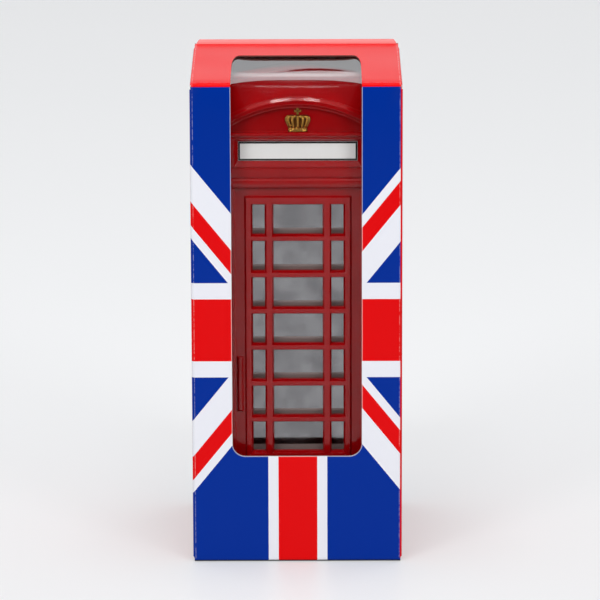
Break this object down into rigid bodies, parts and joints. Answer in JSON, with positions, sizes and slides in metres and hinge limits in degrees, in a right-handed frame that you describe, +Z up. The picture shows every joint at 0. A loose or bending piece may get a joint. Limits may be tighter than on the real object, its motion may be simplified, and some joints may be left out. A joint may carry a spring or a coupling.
{
  "type": "boxed kiosk money bank",
  "caption": "Red telephone-kiosk money bank with domed slotted roof and glazed walls, standing in a flag-printed card carton with a folded window and a hinged tuck lid.",
  "frame": {"origin": "centre of the carton's foot, on the surface it stands on", "axes": "+Z up, +X to the right across the window panel, +Y from the window panel to the back panel"},
  "size_m": [0.074, 0.072, 0.1748],
  "materials": {
    "red_enamel": "gloss red enamel over a metal casting",
    "smoked_sheet": "smoke-grey mirror-like glazing sheet",
    "opal_plate": "white opal sign plate, left bare",
    "gilt": "gold paint on the cast crown",
    "screw_steel": "zinc-plated steel",
    "black_plastic": "moulded black plastic",
    "flag_card": "varnished card printed with a flag in blue, white and red",
    "red_card": "varnished card printed plain red",
    "plain_card": "unprinted white card",
    "clear_film": "clear window film"
  },
  "bodies": {
    "carton_and_bank": {"carton_front": "flag_card", "carton_back": "flag_card", "carton_left": "red_card", "carton_right": "red_card", "carton_base": "red_card", "glue_seam": "plain_card", "base_flap_left": "plain_card", "base_flap_right": "plain_card", "window_film_front": "clear_film", "door_wall": "red_enamel", "left_wall": "red_enamel", "right_wall": "red_enamel", "back_wall": "red_enamel", "roof": "red_enamel", "plinth": "red_enamel", "tie_screws": "screw_steel", "sign_front": "opal_plate", "sign_left": "opal_plate", "sign_right": "opal_plate", "sign_back": "opal_plate", "crown_front": "gilt", "crown_left": "gilt", "crown_right": "gilt", "crown_back": "gilt", "glazing_front": "smoked_sheet", "glazing_left": "smoked_sheet", "glazing_right": "smoked_sheet"},
    "lid": {"lid_panel": "red_card", "window_film_lid": "clear_film"},
    "tuck": {"lid_tuck_flap": "red_card"},
    "dust_left": {"dust_flap_left": "red_card"},
    "dust_right": {"dust_flap_right": "red_card"},
    "stopper": {"coin_stopper": "black_plastic"}
  },
  "joints": [
    {"name": "lid_crease", "type": "hinge", "parent": "carton_and_bank", "child": "lid", "pos_m": [0, -0.036, 0.17209], "axis": [1, 0, 0], "range_deg": [0, 150]},
    {"name": "tuck_crease", "type": "hinge", "parent": "lid", "child": "tuck", "pos_m": [0, 0.03215, 0.17294], "axis": [1, 0, 0], "range_deg": [-45, 0]},
    {"name": "dust_left_crease", "type": "hinge", "parent": "carton_and_bank", "child": "dust_left", "pos_m": [-0.037, 0, 0.17119], "axis": [0, -1, 0], "range_deg": [0, 75]},
    {"name": "dust_right_crease", "type": "hinge", "parent": "carton_and_bank", "child": "dust_right", "pos_m": [0.037, 0, 0.17119], "axis": [0, 1, 0], "range_deg": [0, 75]},
    {"name": "stopper_turn", "type": "hinge", "parent": "carton_and_bank", "child": "stopper", "pos_m": [0.0005, 0, 0.004], "axis": [0, 0, 1], "range_deg": [0, 75]}
  ],
  "couplings": [
    {"joint": "tuck_crease", "follows": "lid_crease", "ratio": -0.3},
    {"joint": "dust_left_crease", "follows": "lid_crease", "ratio": 0.5},
    {"joint": "dust_right_crease", "follows": "lid_crease", "ratio": 0.5}
  ]
}
